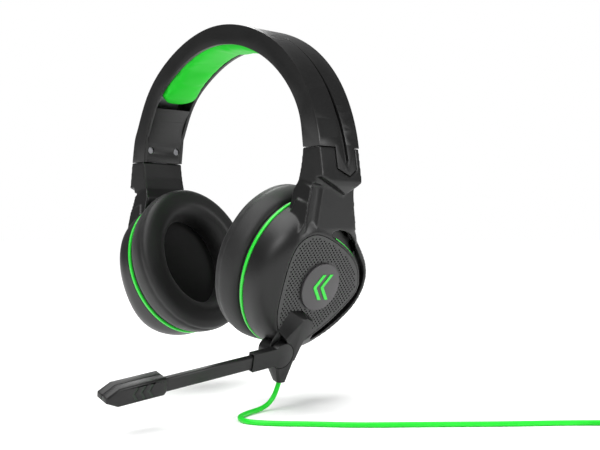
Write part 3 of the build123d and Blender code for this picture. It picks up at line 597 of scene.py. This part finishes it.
# %% Crown cushion
BAND_MIDDLE = Vector((0, 0, 65.1)) * MM
CROWN_SECTION = [(12.9, 80.6), (13.0, 76.5), (12.8, 74.0), (11.6, 72.3), (9.0, 71.2),
                 (5.0, 70.8), (0.0, 70.7), (-5.0, 70.8), (-9.0, 71.2), (-11.6, 72.3),
                 (-12.8, 74.0), (-13.0, 76.5), (-12.9, 80.6), (-6.0, 80.9), (0.0, 80.9),
                 (6.0, 80.9)]
CROWN_REACH, CROWN_STEPS, END_ROUND = radians(55.6), 72, 9.0 * MM
bm = bmesh.new()
row = [bm.verts.new((0, y * MM, r * MM)) for y, r in CROWN_SECTION]
edges = [bm.edges.new((row[i], row[(i + 1) % len(row)])) for i in range(len(row))]
bmesh.ops.rotate(bm, verts=row, cent=(0, 0, 0), matrix=Matrix.Rotation(-CROWN_REACH, 3, "Y"))
bmesh.ops.spin(bm, geom=row + edges, axis=(0, 1, 0), cent=(0, 0, 0), angle=2 * CROWN_REACH,
               steps=CROWN_STEPS, use_merge=False, use_duplicate=False)
bmesh.ops.holes_fill(bm, edges=[e for e in bm.edges if e.is_boundary], sides=0)
for vertex in bm.verts:
    angle = abs(atan2(vertex.co.x, vertex.co.z))
    radius = hypot(vertex.co.x, vertex.co.z)
    # the band's arc opens out towards its ends
    opened = 3.0 * MM * (angle / radians(60)) ** 2
    left_over = (CROWN_REACH - angle) * radius
    if left_over < END_ROUND:
        share = min(1.0, 1 - left_over / END_ROUND)
        vertex.co.y *= max(0.42, (1 - share ** 2) ** 0.5)
        sink = (1 - (1 - share ** 2) ** 0.5) * 5.5 * MM
        if radius < 76 * MM:
            opened += sink
    vertex.co.x *= (radius + opened) / radius
    vertex.co.z *= (radius + opened) / radius
bmesh.ops.translate(bm, verts=bm.verts, vec=BAND_MIDDLE)
bmesh.ops.recalc_face_normals(bm, faces=bm.faces)
crown = piece("head_cushion_skin", bm, crown_skin, "headband")
puff(crown, lambda p: (p - BAND_MIDDLE).length > 79.5 * MM, 2.0, 0.8 * MM)
finer = crown.modifiers.new("finer", "SUBSURF")
finer.levels = finer.render_levels = 2
for face in crown.data.polygons:
    face.use_smooth = True
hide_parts("head_cushion")
print(crown.name, len(crown.data.polygons), "faces before subdivision")


# %% [markdown]
# What is left keeps its CAD shape and gets its real finish. Small trims that catch the
# light get a bevelled copy as well.

# %% Trim with softened edges
for side in ("left", "right"):
    moulded("accent_ring_" + side, green_abs, 0.5, 3)
    moulded("badge_" + side, badge_grey, 0.35, 3)
    moulded("badge_mark_" + side, green_abs, 0.1, 1)
    moulded("rear_accent_" + side, green_abs, 0.1, 1)
    moulded("band_end_cover_" + side, charcoal, 0.3, 2)
moulded("plug_body", green_jacket, 0.4, 3)
moulded("jack", gold, 0.15, 2)
moulded("volume_wheel", black_nylon, 0.15, 2)

# %% Finishes of the CAD pieces that show as they are
FINISHES = [(black_nylon, ["slider_guide", "pad_clip_ring", "baffle"]),
            (strip_steel, ["slider_bar"]), (woven, ["scrim"]), (film, ["diaphragm"]),
            (plated, ["baffle_screws", "band_end_screws", "driver_basket"]),
            (magnet, ["driver_magnet"])]
painted = {f"{part}_{side}": finish for finish, parts in FINISHES for part in parts
           for side in ("left", "right")}
painted.update({"headband_spring": strip_steel, "crossover_lead": lead_black,
                "boom_pin": plated, "mic_capsule": plated, "mic_port_inserts": port_black,
                "volume_pot": black_nylon, "volume_shaft": black_nylon,
                "volume_board": board_green})
for node, finish in painted.items():
    nodes[node].data.materials.clear()
    nodes[node].data.materials.append(finish)
print(len(painted), "CAD nodes painted")

# %% The cord's jacket and its body
curve.materials.append(green_jacket)
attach(cord, "left_ear")
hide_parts("cable", "cable_coil")


# %% [markdown]
# A flat white sheet of paper lies under the headset. Three square soft lamps light it: a
# key from the camera's left, a strip on the right that draws the highlight down the band,
# and one from behind that parts the dark shells. A very wide sun stands for the ceiling.

# %% Studio
material, tree, shader = new_material("studio_paper", Roughness=0.9)
shader.inputs["Base Color"].default_value = linear("ffffff")
FLOOR_HALF = 60.0
bm = bmesh.new()
bmesh.ops.create_grid(bm, x_segments=1, y_segments=1, size=FLOOR_HALF)
bmesh.ops.translate(bm, verts=bm.verts, vec=(0, 0, FLOOR_Z))
mesh = bpy.data.meshes.new("studio_floor")
bm.to_mesh(mesh)
bm.free()
mesh.materials.append(material)
floor = bpy.data.objects.new("studio_floor", mesh)
bpy.context.scene.collection.objects.link(floor)


def lamp(name, place, aim, size, watts):
    """A square soft lamp that faces a point."""
    light = bpy.data.lights.new(name, "AREA")
    light.shape, light.size, light.energy = "SQUARE", size, watts
    obj = bpy.data.objects.new(name, light)
    obj.location = place
    obj.rotation_mode = "QUATERNION"
    obj.rotation_quaternion = (Vector(aim) - Vector(place)).to_track_quat("-Z", "Y")
    bpy.context.scene.collection.objects.link(obj)


MIDDLE = (0.0, 0.0, 0.04)
lamp("key", (0.3, -1.3, 0.9), MIDDLE, 0.6, 9.0)
lamp("strip", (1.3, 0.3, 0.5), MIDDLE, 0.35, 8.0)
lamp("rear", (-0.9, 0.6, 1.1), MIDDLE, 0.5, 8.0)
sky = bpy.data.lights.new("ceiling", "SUN")
sky.energy, sky.angle = 3.0, radians(60)
ceiling = bpy.data.objects.new("ceiling", sky)
ceiling.rotation_euler = (radians(12), radians(-8), 0)
bpy.context.scene.collection.objects.link(ceiling)

# %% White surroundings that light the headset only weakly
SEEN, FELT = 1.0, 0.2
world = bpy.data.worlds.new("studio")
bpy.context.scene.world = world
world.use_nodes = True
tree = world.node_tree
path = add(tree, "ShaderNodeLightPath")
level = add(tree, "ShaderNodeMapRange", {"Value": path.outputs["Is Camera Ray"],
                                         "To Min": FELT, "To Max": SEEN})
background = tree.nodes["Background"]
background.inputs["Color"].default_value = (1, 1, 1, 1)
tree.links.new(level.outputs["Result"], background.inputs["Strength"])
bpy.context.scene.view_settings.view_transform = "Standard"
